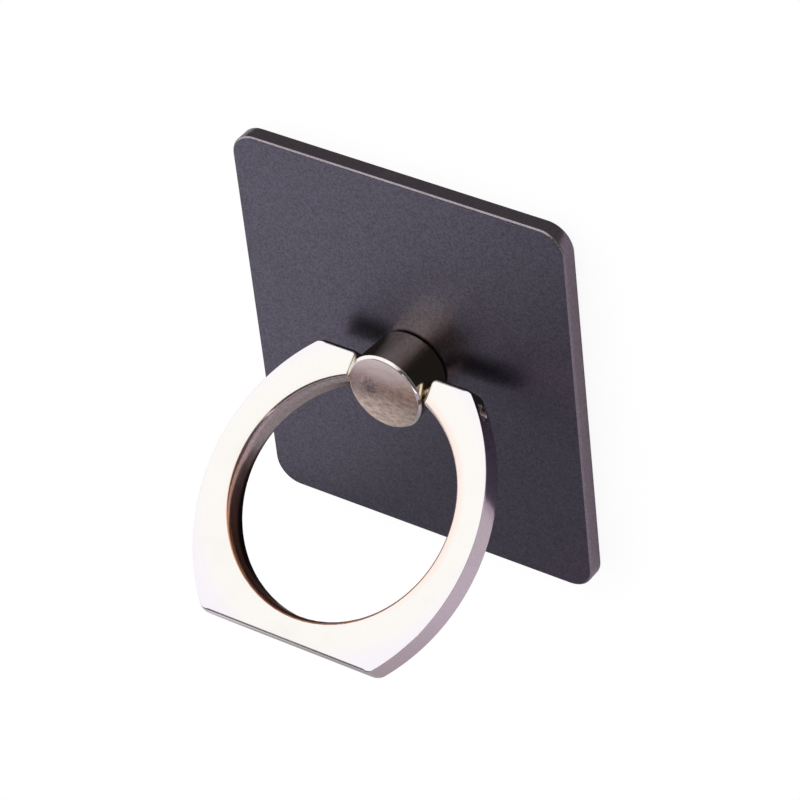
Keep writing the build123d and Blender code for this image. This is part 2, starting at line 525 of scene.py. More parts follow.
@dataclass(frozen=True)
class FoamFinish:
    """Pale acrylic foam: pores, given by size and depth, in colour and surface, and no gloss."""

    name: str
    tones: tuple[Colour, Colour]
    roughness: Span
    pores: Span

    def material(self, effects: SurfaceEffects) -> Material:
        """Builds the material.

        Args:
            effects: The shared node groups.

        Returns:
            The material.
        """
        made, nodes = new_material(self.name)
        size, depth = self.pores
        grain = Paint(nodes, effects, nodes.place()).grain(size)
        bump = nodes.add("ShaderNodeBump", {"Height": grain, "Distance": depth * MM})
        inputs = {
            "Base Color": nodes.mix(grain, *self.tones),
            "Roughness": nodes.spread(grain, RISE, self.roughness),
            "Normal": bump.outputs["Normal"],
        }
        nodes.surface(nodes.add("ShaderNodeBsdfPrincipled", inputs))
        return made


GUNMETAL = MetalFinish(
    "gunmetal_satin",
    tones=((0.070, 0.064, 0.087, 1), (0.134, 0.122, 0.167, 1)),
    roughness=(0.34, 0.39),
    grain=(0.2, 0.004),
    marks=(9.0, 0.5),
)
# The bevels and walls take a lighter copy of the gunmetal paint: the lighter tone is a painted
# reflection on the plate's sides.
GUNMETAL_EDGE = MetalFinish(
    "gunmetal_edge_painted_reflection",
    tones=((0.24, 0.21, 0.235, 1), (0.34, 0.305, 0.335, 1)),
    roughness=(0.24, 0.34),
    grain=(0.22, 0.008),
    marks=(2.0, 0.5),
)
RING_CHROME = FaceFinish(
    "ring_chrome_painted_reflection",
    tones=((0.68, 0.665, 0.645, 1), (0.695, 0.68, 0.66, 1)),
    roughness=(0.22, 0.28),
    grain=(0.2, 0.0005),
    marks=(6.0, 0.45),
)
# The outer side takes a brighter, lilac copy of the ring's chrome: the lilac tone is a painted
# reflection.
RING_SIDE = MetalFinish(
    "ring_side_painted_reflection",
    tones=((0.81, 0.715, 0.765, 1), (0.89, 0.79, 0.845, 1)),
    roughness=(0.13, 0.2),
    grain=(0.25, 0.0006),
    marks=(3.0, 0.45),
)
RING_BORE = BoreFinish(
    "ring_bore_painted_shade_and_reflection",
    tones=((0.50, 0.41, 0.42, 1), (0.68, 0.575, 0.59, 1)),
    roughness=(0.16, 0.26),
    grain=(0.3, 0.001),
    marks=(2.5, 0.5),
    edge_tint=(0.42, 0.36, 0.36, 1),
)
POST_CHROME = MetalFinish(
    "post_chrome",
    tones=((0.86, 0.73, 0.56, 1), (0.95, 0.82, 0.64, 1)),
    roughness=(0.10, 0.18),
    grain=(0.25, 0.0008),
    marks=(2.5, 0.45),
    stretch=(1.0, 1.0, 0.3),
)
POST_RIM = MetalFinish(
    "post_rim",
    tones=((0.64, 0.61, 0.60, 1), (0.72, 0.69, 0.68, 1)),
    roughness=(0.08, 0.14),
    grain=(0.25, 0.0004),
    marks=(2.0, 0.4),
)
POST_END_SATIN = EndFinish(
    "post_end_satin_painted_reflection",
    tones=((0.58, 0.47, 0.48, 1), (0.76, 0.65, 0.66, 1)),
    roughness=(0.2, 0.28),
    grain=(0.12, 0.0012),
    marks=(1.6, 0.5),
)
PIN_STEEL = MetalFinish(
    "pin_steel",
    tones=((0.62, 0.57, 0.53, 1), (0.74, 0.70, 0.66, 1)),
    roughness=(0.2, 0.3),
    grain=(0.15, 0.002),
    marks=(1.0, 0.5),
)
SPRING_STEEL = MetalFinish(
    "spring_steel",
    tones=((0.32, 0.31, 0.30, 1), (0.42, 0.41, 0.40, 1)),
    roughness=(0.28, 0.4),
    grain=(0.2, 0.003),
    marks=(2.0, 0.5),
)
PALE_FOAM = FoamFinish(
    "pale_foam",
    tones=((0.46, 0.46, 0.44, 1), (0.56, 0.56, 0.54, 1)),
    roughness=(0.95, 0.75),
    pores=(0.14, 0.03),
)


def linked(name: str, data: bpy.types.ID) -> bpy.types.Object:
    """Puts an object with its data in the scene."""
    made = bpy.data.objects.new(name, data)
    bpy.context.scene.collection.objects.link(made)
    return made


def shown(
    name: str,
    mesh: Mesh,
    materials: list[Material],
    body: Body,
    node: str,
) -> bpy.types.Object:
    """Puts a finished mesh in the scene in place of a CAD node.

    Args:
        name: Name of the piece.
        mesh: Its mesh, in the row frame.
        materials: Its materials, in the order of the faces' numbers.
        body: The body it moves with.
        node: The CAD node that it stands for.

    Returns:
        The object.
    """
    piece = linked(name, mesh)
    for material in materials:
        mesh.materials.append(material)
    mesh.set_sharp_from_angle(angle=SHARP_ANGLE)
    piece.modifiers.new("even_normals", "WEIGHTED_NORMAL").keep_sharp = True
    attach(piece, body.value)
    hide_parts(node)
    LOG.info("%s: %d faces for node %s", name, len(mesh.polygons), node)
    return piece


def bored(mesh: Mesh, cutter: Mesh) -> Mesh:
    """Takes one closed mesh away from another.

    Args:
        mesh: The mesh to be bored.
        cutter: The mesh of the bore.

    Returns:
        A new mesh with the bore in it.
    """
    whole, tool = linked("bore_blank", mesh), linked("bore_tool", cutter)
    cut = whole.modifiers.new("bore", "BOOLEAN")
    cut.operation, cut.solver, cut.object = "DIFFERENCE", "EXACT", tool
    view = bpy.context.evaluated_depsgraph_get()
    result = bpy.data.meshes.new_from_object(whole.evaluated_get(view))
    result.name = mesh.name + "_bored"
    bpy.data.objects.remove(whole)
    bpy.data.objects.remove(tool)
    result.shade_smooth()
    return result


def turned_on_hinge(profile: Array, columns: int) -> Skin:
    """A surface of revolution about the hinge axis.

    Args:
        profile: Places along X and radii.
        columns: Points round each circle.

    Returns:
        The surface, with a pole on the axis at each end.
    """
    about_z = with_level(circles(profile[:, 1], columns), profile[:, 0])
    rows = np.roll(about_z, 1, axis=-1) + np.array(HINGE)
    return Skin().capped(rows, (profile[0, 0], *HINGE[1:]), (profile[-1, 0], *HINGE[1:]))


def face_middles(mesh: Mesh) -> tuple[Array, Array]:
    """Middles, in millimetres, and normals of a mesh's faces, one row for each face."""
    middles = np.zeros(len(mesh.polygons) * 3)
    normals = np.zeros(len(mesh.polygons) * 3)
    mesh.polygons.foreach_get("center", middles)
    mesh.polygons.foreach_get("normal", normals)
    return middles.reshape(-1, 3) / MM, normals.reshape(-1, 3)


def number_faces(mesh: Mesh, numbers: Array) -> None:
    """Gives every face the number of its material."""
    mesh.polygons.foreach_set("material_index", numbers.astype(np.int32))


def rounded_rectangle(
    width: float, height: float, radius: float, arc: int, side: int
) -> tuple[Array, Array]:
    """Outline of a rectangle with rounded corners, and its outward normals.

    Every corner is a quarter circle about a corner centre. The straight sides are the even steps
    between the end of one quarter circle and the start of the next.

    Args:
        width: Size along X.
        height: Size along Y.
        radius: Corner radius.
        arc: Points on each corner.
        side: Extra points on each side.

    Returns:
        Points and normals, one row each, once round.
    """
    quarter = np.linspace(0.0, np.pi / 2, arc)
    normals = spokes(np.arange(4)[:, None] * np.pi / 2 + quarter)
    signs = np.array([(1, 1), (-1, 1), (-1, -1), (1, -1)])[:, None]
    corners = signs * np.array([width / 2 - radius, height / 2 - radius]) + radius * normals
    step = (np.arange(1, side + 1) / (side + 1))[None, :, None]
    last, first = corners[:, -1:], np.roll(corners, -1, axis=0)[:, :1]
    straight = last + (first - last) * step
    flat = np.broadcast_to(normals[:, -1:], straight.shape)
    points = np.concatenate([corners, straight], axis=1).reshape(-1, 2)
    return points, np.concatenate([normals, flat], axis=1).reshape(-1, 2)


@dataclass
class BasePlate:
    """The gunmetal plate with its bevelled edge, shank hole and recess, and the foam pad behind it."""

    width: float = 35.0
    height: float = 40.0
    corner_radius: float = 2.5
    corner_points: int = 17
    side_points: int = 6
    back: float = 0.8
    front: float = 2.5
    chamfer: float = 0.15
    edge_softness: float = 0.05
    face_tilt: float = 0.9
    hole_radius: float = 2.05
    recess_radius: float = 4.7
    recess_ceiling: float = 1.76
    land: float = 0.6
    pad_width: float = 32.6
    pad_height: float = 37.6
    pad_corner_radius: float = 1.8
    pad_corner_points: int = 13
    pad_side_points: int = 8
    pad_bulge: float = 0.04
    pad_softness: float = 0.12
    pad_shares: Span = (0.35, 0.7)

    def plate_mesh(self) -> Mesh:
        """The plate: one closed section carried round.

        The inner part of the section, from the back by the recess and the hole to the front, runs on
        circles, and the outer part, over the bevels and the side, on the rounded outline set in.

        Returns:
            The mesh, with bevels and walls as second material.
        """
        outline, normals = rounded_rectangle(
            self.width, self.height, self.corner_radius, self.corner_points, self.side_points
        )
        hole, recess, ceiling = self.hole_radius, self.recess_radius, self.recess_ceiling
        back, front, land, bevel = self.back, self.front, self.land, self.chamfer
        cuts = np.full(4, self.edge_softness)
        under = [(recess + land, back), (recess, back), (recess, ceiling), (hole, ceiling)]
        inner = softened([*under, (hole, front), (hole + land, front)], cuts)
        over = [(land, front), (bevel, front), (0.0, front - bevel), (0.0, back + bevel)]
        outer = softened([*over, (bevel, back), (land, back)], cuts)
        round_hole = inner[:, :1, None] * spokes(np.arctan2(outline[:, 1], outline[:, 0]))
        insets = outline - outer[:, :1, None] * normals
        level = np.concatenate([inner[:, 1], outer[:, 1]])
        skin = Skin()
        rows = with_level(np.concatenate([round_hole, insets]), level)
        skin.grid(rows, round_rows=True, round_columns=True)
        mesh = skin.mesh("base_plate_skin")
        number_faces(mesh, np.abs(face_middles(mesh)[1][:, 2]) < self.face_tilt)
        return mesh

    def pad_mesh(self) -> Mesh:
        """The pad: a slab whose cut edge bulges a little between its two flat faces.

        The edge's section is a polyline with softened corners, and both faces close in towards
        the middle by even shares of the outline.

        Returns:
            The mesh.
        """
        bulge, back, land = self.pad_bulge, self.back, self.land
        outline, normals = rounded_rectangle(
            self.pad_width - 2 * bulge,
            self.pad_height - 2 * bulge,
            self.pad_corner_radius - bulge,
            self.pad_corner_points,
            self.pad_side_points,
        )
        section = softened(
            [(-land, 0.0), (0.0, 0.0), (bulge, back / 2), (0.0, back), (-land, back)],
            np.array([self.pad_softness, back / 4, self.pad_softness]),
        )
        edge = outline + section[:, :1, None] * normals
        share = np.array(self.pad_shares)[:, None, None]
        flat = np.concatenate([share * edge[:1], edge, share[::-1] * edge[-1:]])
        level = np.concatenate([[0.0, 0.0], section[:, 1], [back, back]])
        skin = Skin().capped(with_level(flat, level), (0.0, 0.0, 0.0), (0.0, 0.0, back))
        return skin.mesh("adhesive_pad_skin")

    def build(self, effects: SurfaceEffects) -> None:
        """Makes and dresses the plate and the pad."""
        metals = [GUNMETAL.material(effects), GUNMETAL_EDGE.material(effects)]
        shown("plate_gunmetal", self.plate_mesh(), metals, Body.BASE, "base_plate")
        foam = PALE_FOAM.material(effects)
        pad = shown("pad_foam", self.pad_mesh(), [foam], Body.BASE, "adhesive_pad")


@dataclass
class SwivelPost:
    """The flared post with its bevelled rim, its shank and its riveted end."""

    foot: float = 2.58
    top: float = 7.2
    foot_radius: float = 3.6
    head_radius: float = 3.9
    rim_chamfer: float = 0.25
    foot_chamfer: float = 0.12
    foot_softness: Span = (0.04, 0.05)
    rim_softness: float = 0.06
    edge_points: int = 7
    crown: float = 0.03
    crown_radius: float = 2.6
    crown_run: Span = (2.3, 0.3)
    crown_rows: int = 7
    shank_radius: float = 2.0
    rivet_middle: float = 1.2
    rivet_radius: float = 2.7
    rivet_bottom: float = 0.90
    rivet_top: float = 1.16
    rivet_chamfer: float = 0.12
    bore_radius: float = 0.79
    bore_over: float = 1.0
    bore_columns: int = 48
    columns: int = 160
    end_tilt: float = 0.97
    rim_tilt: float = 0.05

    def radius_at(self, level: float) -> float:
        """Radius of the flared side at a level."""
        flare, rise = self.head_radius - self.foot_radius, self.top - self.foot
        return self.foot_radius + flare * (level - self.foot) / rise

    def profile(self) -> Array:
        """Radius and level of each circle, from the riveted end up to the crowned end face."""
        foot, top, crown_radius = self.foot, self.top, self.crown_radius
        low, high = foot + self.foot_chamfer, top - self.rim_chamfer
        rivet, bottom, bevel = self.rivet_radius, self.rivet_bottom, self.rivet_chamfer
        hidden = [
            (self.rivet_middle, bottom),
            (rivet - bevel, bottom),
            (rivet, bottom + bevel),
            (rivet, self.rivet_top),
            (self.shank_radius, self.rivet_top),
            (self.shank_radius, foot),
        ]
        body = softened(
            [
                (crown_radius, foot),
                (self.foot_radius - self.foot_chamfer, foot),
                (self.radius_at(low), low),
                (self.radius_at(high), high),
                (self.head_radius - self.rim_chamfer, top),
                (crown_radius, top),
            ],
            np.array([*self.foot_softness, self.rim_softness, self.rim_softness]),
            self.edge_points,
        )
        inward = np.linspace(*self.crown_run, self.crown_rows)
        crown = top + self.crown * (1 - (inward / crown_radius) ** 2)
        return np.concatenate([hidden, body, np.stack([inward, crown], -1)])

    def mesh(self) -> Mesh:
        """The post: the profile turned about Z, then bored across for the pin.

        Returns:
            The mesh, with the end face as second and the rim as third material.
        """
        profile = self.profile()
        rows = with_level(circles(profile[:, 0], self.columns), profile[:, 1])
        ends = (0.0, 0.0, self.rivet_bottom), (0.0, 0.0, self.top + self.crown)
        blank = Skin().capped(rows, *ends).mesh("swivel_post_skin")
        reach = self.head_radius + self.bore_over
        bore = np.array([(-reach, self.bore_radius), (reach, self.bore_radius)])
        mesh = bored(blank, turned_on_hinge(bore, self.bore_columns).mesh("post_bore"))
        middles, normals = face_middles(mesh)
        head = middles[:, 2] > self.top - self.rim_chamfer - self.rim_softness
        face = head & (normals[:, 2] > self.end_tilt)
        rim = head & (normals[:, 2] > self.rim_tilt) & ~face
        number_faces(mesh, face + 2 * rim)
        return mesh

    def build(self, effects: SurfaceEffects) -> None:
        """Makes and dresses the post and the friction parts that stay CAD nodes."""
        metals = [finish.material(effects) for finish in (POST_CHROME, POST_END_SATIN, POST_RIM)]
        shown("post_turned", self.mesh(), metals, Body.SWIVEL, "swivel_post")
        steel = SPRING_STEEL.material(effects)
        for node in ("disc_spring", "retaining_washer"):
            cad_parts[node].data.materials.clear()
            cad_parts[node].data.materials.append(steel)
            LOG.info("%s: CAD node in %s", node, steel.name)


@dataclass
class FingerRing:
    """The C-shaped ring and the hinge pin driven into it, at the rest angle.

    The ring is drawn about the hinge axis: X along it, Y away from the foot, Z out of the front.
    """

    thickness: float = 2.6
    hole_radius: float = 11.0
    hole_centre: float = -11.55
    front_round: float = 0.5
    front_depth: float = 1.1
    back_round: float = 0.3
    back_depth: float = 0.3
    top: float = 1.36
    foot: float = -25.19
    top_half: float = 7.95
    foot_half: float = 8.95
    half_width: float = 14.05
    gap_half: float = 4.0
    corner_radius: float = 1.2
    end_radius: float = 0.6
    edge_round: float = 0.4
    side_round: float = 0.05
    rest_angle: float = 50.5
    drill_radius: float = 0.76
    drill_over: float = 2.0
    pin_radius: float = 0.75
    pin_middle: float = 0.2
    pin_sunk: float = 0.7
    pin_blind_wall: float = 1.4
    pin_chamfer: float = 0.2
    pin_softness: float = 0.06
    pin_columns: int = 64
    end_points: int = 10
    corner_points: int = 11
    side_points: int = 61
    line_points: int = 7
    gap_points: int = 9
    hole_corner_points: int = 9
    bend_points: int = 19
    wall_points: int = 4
    wall_end: float = 0.1
    face_rows: int = 6
    bore_band: float = 0.47
    wall_facing: float = 0.4
    side_tilt: float = 0.85

    def side_circle(self) -> tuple[Array, float]:
        """Centre and radius of the right side's circle, through its ends and its widest point."""
        widest = (self.half_width, self.hole_centre)
        points = np.array([(self.top_half, self.top), widest, (self.foot_half, self.foot)])
        across = 2 * (points[1:] - points[0])
        squares = (points[1:] ** 2).sum(1) - (points[0] ** 2).sum()
        centre = np.linalg.solve(across, squares)
        return centre, float(np.linalg.norm(points[0] - centre))

    def side_reach(self) -> float:
        """How far the right side lies from the middle on the hinge axis."""
        centre, radius = self.side_circle()
        return float(centre[0] + math.sqrt(radius**2 - centre[1] ** 2))

    def right_edge(self) -> tuple[Array, Array, Array]:
        """The right half of the outer edge of the flat face, from the gap to the middle of the foot.

        It is the outline set in by the edge round: a small arc at the gap, the top line, a corner
        arc, the side's circle, a corner arc and the foot line. A corner arc's centre lies one corner
        radius inside both of the edges that it joins.

        Returns:
            Points, normals, and each point's share of the side's tighter edge.
        """
        centre, radius = self.side_circle()
        corner, inset, quarter = self.corner_radius, self.edge_round, math.pi / 2
        corner_level = np.array([self.top - corner, self.foot + corner])
        rise = corner_level - centre[1]
        run = np.sqrt((radius - corner) ** 2 - rise**2)
        corners = np.stack([centre[0] + run, corner_level], -1)
        meet = np.arctan2(rise, run)
        end = np.array([self.gap_half + self.end_radius, self.top - self.end_radius])
        arcs = (
            (end, self.end_radius, np.linspace(math.pi, quarter, self.end_points)),
            (corners[0], corner, np.linspace(quarter, meet[0], self.corner_points)),
            (centre, radius, np.linspace(meet[0], meet[1], self.side_points)[1:-1]),
            (corners[1], corner, np.linspace(meet[1], -quarter, self.corner_points)),
        )
        gap_arc, top_arc, side_arc, foot_arc = (
            (middle + (bend - inset) * spokes(turn), spokes(turn)) for middle, bend, turn in arcs
        )
        along = np.linspace(0.0, 1.0, self.line_points)[1:, None]
        start, goal = gap_arc[0][-1], top_arc[0][0]
        top_line = start + along[:-1] * (goal - start)
        start, goal = foot_arc[0][-1], np.array([0.0, self.foot + inset])
        foot_line = start + along * (goal - start)
        ramp = np.linspace(0.0, 1.0, self.corner_points)
        pieces = (
            (*gap_arc, 0.0),
            (top_line, (0.0, 1.0), 0.0),
            (*top_arc, ramp),
            (*side_arc, 1.0),
            (*foot_arc, ramp[::-1]),
            (foot_line, (0.0, -1.0), 0.0),
        )
        return self.joined(pieces)

    def joined(self, pieces: tuple) -> tuple[Array, ...]:
        """Joins pieces of an edge.

        Args:
            pieces: For each piece its points, its normals and its shares. Where all points of a
                piece have the same normal or share, it is given once.

        Returns:
            All points, all normals, and all shares of each kind.
        """
        points = np.concatenate([piece[0] for piece in pieces])
        normals = np.concatenate([np.broadcast_to(piece[1], piece[0].shape) for piece in pieces])
        kinds = range(2, len(pieces[0]))
        spans = ([np.broadcast_to(piece[k], len(piece[0])) for piece in pieces] for k in kinds)
        return points, normals, *(np.concatenate(span) for span in spans)

    def turned_corner(self, before: Array, after: Array) -> Array:
        """Normals that turn by the short way from one direction to another, ends left out."""
        first = math.atan2(before[1], before[0])
        swing = (math.atan2(after[1], after[0]) - first + math.pi) % (2 * math.pi) - math.pi
        return spokes(first + swing * np.linspace(0.0, 1.0, self.hole_corner_points + 2)[1:-1])

    def loop(self, hole_round: float) -> tuple[Array, ...]:
        """The closed edge of one flat face, with its normals.

        The right half runs back along the hole, up the gap and over the outer edge. The left half
        is its mirror image. The corner of hole and gap repeats its point while the normal turns.

        Args:
            hole_round: Width of the hole's rounded edge on this face.

        Returns:
            Points, normals, each point's shares of the hole's and of the side's sections, and the
            outer and inner edges that bound the flat face.
        """
        outer, outer_normals, outer_tight = self.right_edge()
        reach = self.hole_radius + hole_round
        gap_turn = math.acos((self.gap_half + self.edge_round) / reach)
        run = np.concatenate([[0.0], np.cumsum(np.linalg.norm(np.diff(outer, axis=0), axis=1))])
        spoke = spokes(gap_turn - (gap_turn + math.pi / 2) * run / run[-1])
        inner = np.array([0.0, self.hole_centre]) + reach * spoke
        gap_normal = np.array([-1.0, 0.0])
        between = np.linspace(0.0, 1.0, self.gap_points)[:-1, None]
        gap = inner[0] + between * (outer[0] - inner[0])
        steps = self.hole_corner_points
        fade = np.linspace(1.0, 0.0, steps + 2)[1:-1]
        corner_normals = self.turned_corner(-spoke[0], gap_normal)
        pieces = (
            (inner[::-1], -spoke[::-1], 1.0, 0.0),
            (np.repeat(inner[:1], steps, 0), corner_normals, fade, 0.0),
            (gap, gap_normal, 0.0, 0.0),
            (outer, outer_normals, 0.0, outer_tight),
        )
        points, normals, *shares = self.joined(pieces)
        flip = np.array([-1.0, 1.0])
        both = [np.concatenate([rows, rows[::-1] * flip]) for rows in (points, normals)]
        shares = [np.concatenate([share, share[::-1]]) for share in shares]
        bounds = [np.concatenate([line, line[-2::-1] * flip]) for line in (outer, inner)]
        return *both, *shares, *bounds

    def edge_sections(self, hole_round: float, hole_depth: float) -> list[Array]:
        """Sections from a face to near the middle of the edge: outer edge, hole and side.

        Each is a quarter circle, or at the hole a quarter ellipse, and part of the straight side.
        The side's smaller circle starts further out, at the end of a flat run. All have the same
        count.

        Args:
            hole_round: Width of the hole's rounded edge on this face.
            hole_depth: Its depth.

        Returns:
            Three arrays of outward offset and height over the middle.
        """
        turn = np.linspace(0.0, np.pi / 2, self.bend_points)
        quarter = np.stack([np.sin(turn), np.cos(turn) - 1], -1)
        sections = []
        for width, depth, run in (
            (self.edge_round, self.edge_round, 0.0),
            (hole_round, hole_depth, 0.0),
            (self.side_round, self.side_round, self.edge_round - self.side_round),
        ):
            bend = np.array([run, self.thickness / 2]) + quarter * np.array([width, depth])
            bend[0, 0] = 0.0
            side = np.linspace(bend[-1, 1], self.wall_end, self.wall_points)[1:]
            wall = np.stack([np.full(len(side), run + width), side], -1)
            sections.append(np.concatenate([bend, wall]))
        return sections

    def directions(self) -> Array:
        """The ring's own X, Y and Z directions at the rest angle, one a row."""
        turn = math.radians(-self.rest_angle)
        along, rise = math.cos(turn), math.sin(turn)
        return np.array([(1.0, 0.0, 0.0), (0.0, along, rise), (0.0, -rise, along)])

    def at_rest(self, points: Array) -> Array:
        """Carries points drawn about the hinge axis to the hinge, turned to the rest angle."""
        return points @ self.directions() + np.array(HINGE)

    def ring_mesh(self) -> Mesh:
        """The ring: two flat faces and the edge section carried round their closed edges, then drilled.

        Each edge point is its base point plus the section's offset along the normal, at the
        section's height, where the section is shared between those of edge, hole and side. The
        front half of the edge runs on the front face's edge and the back half on the back one's.

        Returns:
            The mesh, with the bore's wall as second and the outer side as third material.
        """
        skin = Skin()
        halves = []
        across = np.linspace(0.0, 1.0, self.face_rows)[:, None, None]
        for side, hole_round, hole_depth in (
            (1.0, self.front_round, self.front_depth),
            (-1.0, self.back_round, self.back_depth),
        ):
            points, normals, bored_share, tight_share, outer, inner = self.loop(hole_round)
            sections = self.edge_sections(hole_round, hole_depth)
            edge, hole, tight = (section[:, None] for section in sections)
            section = edge + (hole - edge) * bored_share[:, None]
            section = section + (tight - edge) * tight_share[:, None]
            flat = points + section[..., :1] * normals
            halves.append(np.concatenate([flat, side * section[..., 1:]], -1))
            cap = inner + across * (outer - inner)
            level = np.full(self.face_rows, side * self.thickness / 2)
            skin.grid(self.at_rest(with_level(cap, level)))
        edge = np.concatenate([halves[0], halves[1][::-1]])
        skin.grid(self.at_rest(edge), round_columns=True)
        blind, open_end = self.pin_blind_wall - self.side_reach(), self.half_width + self.drill_over
        drill = np.array([(blind, self.drill_radius), (open_end, self.drill_radius)])
        cutter = turned_on_hinge(drill, self.pin_columns).mesh("ring_drill")
        mesh = bored(skin.mesh("finger_ring_skin"), cutter)
        self.mark_walls(mesh)
        return mesh

    def mark_walls(self, mesh: Mesh) -> None:
        """Numbers the bore's wall 1 and the outer side 2.

        The bore's faces are near its radius and look at its axis. The side's look away from it and
        hardly to the front or back.

        Args:
            mesh: The ring's mesh.
        """
        middles, normals = face_middles(mesh)
        _, up, front = self.directions()
        height = (middles - np.array(HINGE)) @ up - self.hole_centre
        from_axis = np.stack([middles[:, 0], height], -1)
        reach = np.linalg.norm(from_axis, axis=1)
        facing = -(from_axis * np.stack([normals[:, 0], normals @ up], -1)).sum(1) / reach
        bore = (reach < self.hole_radius + self.bore_band) & (facing > self.wall_facing)
        side = (facing < -self.wall_facing) & (np.abs(normals @ front) < self.side_tilt)
        number_faces(mesh, bore + 2 * side)

    def pin_mesh(self) -> Mesh:
        """The pin: a round bar with softened bevels, turned about the hinge axis."""
        right = self.side_reach() - self.pin_sunk
        left = self.pin_blind_wall - self.side_reach()
        radius, bevel = self.pin_radius, self.pin_chamfer
        profile = softened(
            [
                (left, self.pin_middle),
                (left, radius - bevel),
                (left + bevel, radius),
                (right - bevel, radius),
                (right, radius - bevel),
                (right, self.pin_middle),
            ],
            np.full(4, self.pin_softness),
        )
        return turned_on_hinge(profile, self.pin_columns).mesh("hinge_pin_skin")

    def build(self, effects: SurfaceEffects) -> None:
        """Makes and dresses the ring and the pin."""
        metals = [finish.material(effects) for finish in (RING_CHROME, RING_BORE, RING_SIDE)]
        shown("ring_polished", self.ring_mesh(), metals, Body.RING, "finger_ring")
        steel = PIN_STEEL.material(effects)
        shown("pin_driven", self.pin_mesh(), [steel], Body.RING, "hinge_pin")


def level_corners(level: float, left: float, right: float, low: float, high: float) -> Array:
    """Corners of a level rectangle."""
    return np.array([(left, low, level), (right, low, level), (right, high, level), (left, high, level)])


@dataclass
class Studio:
    """Sky, floor, bench card and flags: a white panel above, gloom to the right and a mid-tone bench.

    In the sky, runs are shares of the direction's X, and edges are angles round the hinge axis in
    degrees. On the cards, runs are places in millimetres, edges are left, right, low and high, and
    the wedge's ends are angles about the post in degrees.
    """

    gloom: float = 0.12
    panel: float = 1.45
    panel_end: float = 0.12
    panel_run: Span = (0.02, 0.6)
    panel_edge: Span = (55.0, 43.0)
    panel_edge_run: Span = (0.16, 0.42)
    panel_blur: Span = (-3.0, 3.0)
    panel_left_run: Span = (-0.8, -0.6)
    panel_colour: Colour = (1.0, 0.995, 0.985, 1.0)
    warm_colour: Colour = (1.0, 0.80, 0.69, 1.0)
    warm_run: Span = (0.0, 0.4)
    bench: float = 0.55
    bench_edge: Span = (100.0, 109.0)
    bench_run: Span = (0.14, 0.34)
    bench_colour: Colour = (1.0, 0.90, 0.97, 1.0)
    strip: float = 2.5
    strip_plane: Size3 = (0.6217, 0.4866, -0.6116)
    strip_half: Span = (0.014, 0.03)
    strip_run: Span = (0.36, 0.42)
    floor_half: float = 4000.0
    floor_glow: float = 0.93
    floor_share: float = 0.16
    floor_colour: Colour = (0.80, 0.73, 0.81, 1.0)
    floor_lift: float = 0.15
    lift_colour: Colour = (1.0, 0.9, 1.0, 1.0)
    card_place: float = -26.5
    card_half: float = 300.0
    card_height: Span = (0.2, 90.0)
    card_run: Span = (-50.0, 30.0)
    card_foot: Span = (6.0, 9.0)
    card_foot_share: float = 0.12
    card_foot_run: Span = (-14.0, -11.0)
    flag: float = 0.14
    flag_colour: Colour = (1.0, 0.93, 0.97, 1.0)
    upper_edges: Edges = (-60.0, 24.0, 20.1, 40.0)
    lower_edges: Edges = (-30.0, 12.0, -26.4, -20.1)
    side_glow: float = 0.53
    side_colour: Colour = (1.0, 0.91, 0.98, 1.0)
    side_edges: Edges = (19.6, 60.0, -26.4, 6.0)
    post_flag: float = 0.012
    post_edges: Edges = (-12.0, 13.0, -1.0, 9.0)
    over_floor: float = 0.05
    over_plate: float = 2.56
    wedge_start: Span = (44.0, 68.0)
    wedge_end: Span = (112.0, 142.0)

    def sky(self) -> None:
        """The world: light by direction.

        The angle round the hinge axis is 0 towards +Y, 90 upwards and 180 towards -Y. A white panel
        reaches up to about 55 and to the left, and dims and warms to the right, where it ends lower.
        The bench glows beyond 104. A thin strip stands to the right, on the plane that is square to
        strip_plane.
        """
        world = bpy.data.worlds.new("studio_sky")
        bpy.context.scene.world = world
        world.use_nodes = True
        nodes = NodeTree(world.node_tree)
        ray = nodes.add("ShaderNodeTexCoord").outputs["Generated"]
        axis = nodes.axes(ray)
        side, angle = axis["X"], nodes.math("ARCTAN2", axis["Z"], axis["Y"])
        limit = nodes.spread(side, self.panel_edge_run, radians(self.panel_edge))
        over = nodes.math("SUBTRACT", angle, limit)
        low = nodes.spread(over, radians(self.panel_blur), FALL, True)
        far_left = nodes.spread(side, self.panel_left_run, FALL, True)
        past = nodes.spread(angle, radians(self.bench_edge), RISE, True)
        left = nodes.spread(side, self.bench_run, FALL, True)
        fall = nodes.spread(side, self.panel_run, (self.panel, self.panel_end))
        panel = nodes.math("MULTIPLY", nodes.math("MAXIMUM", low, far_left), fall)
        bench = nodes.math("MULTIPLY", nodes.math("MULTIPLY", past, left), self.bench)
        lit = nodes.math("MAXIMUM", nodes.math("MAXIMUM", panel, bench), self.gloom)
        off_plane = nodes.vector("DOT_PRODUCT", ray, self.strip_plane)["Value"]
        near = nodes.spread(nodes.math("ABSOLUTE", off_plane), self.strip_half, FALL, True)
        right = nodes.spread(side, self.strip_run, (0.0, self.strip), True)
        glow = nodes.math("ADD", lit, nodes.math("MULTIPLY", near, right))
        warm = nodes.math("MULTIPLY", nodes.spread(side, self.warm_run, RISE), low)
        colour = nodes.mix(warm, self.panel_colour, self.warm_colour)
        colour = nodes.mix(past, colour, self.bench_colour)
        back = nodes.add("ShaderNodeBackground", {"Color": colour, "Strength": glow})
        nodes.add("ShaderNodeOutputWorld", {"Surface": back.outputs[0]})

    def flat_card(self, name: str, corners: Array, material: Material) -> bpy.types.Object:
        """Puts a flat card, which isn't part of the object, in the scene by its four corners."""
        mesh = bpy.data.meshes.new(name)
        mesh.from_pydata((corners * MM).tolist(), [], [(0, 1, 2, 3)])
        mesh.materials.append(material)
        card = linked(name, mesh)
        return card

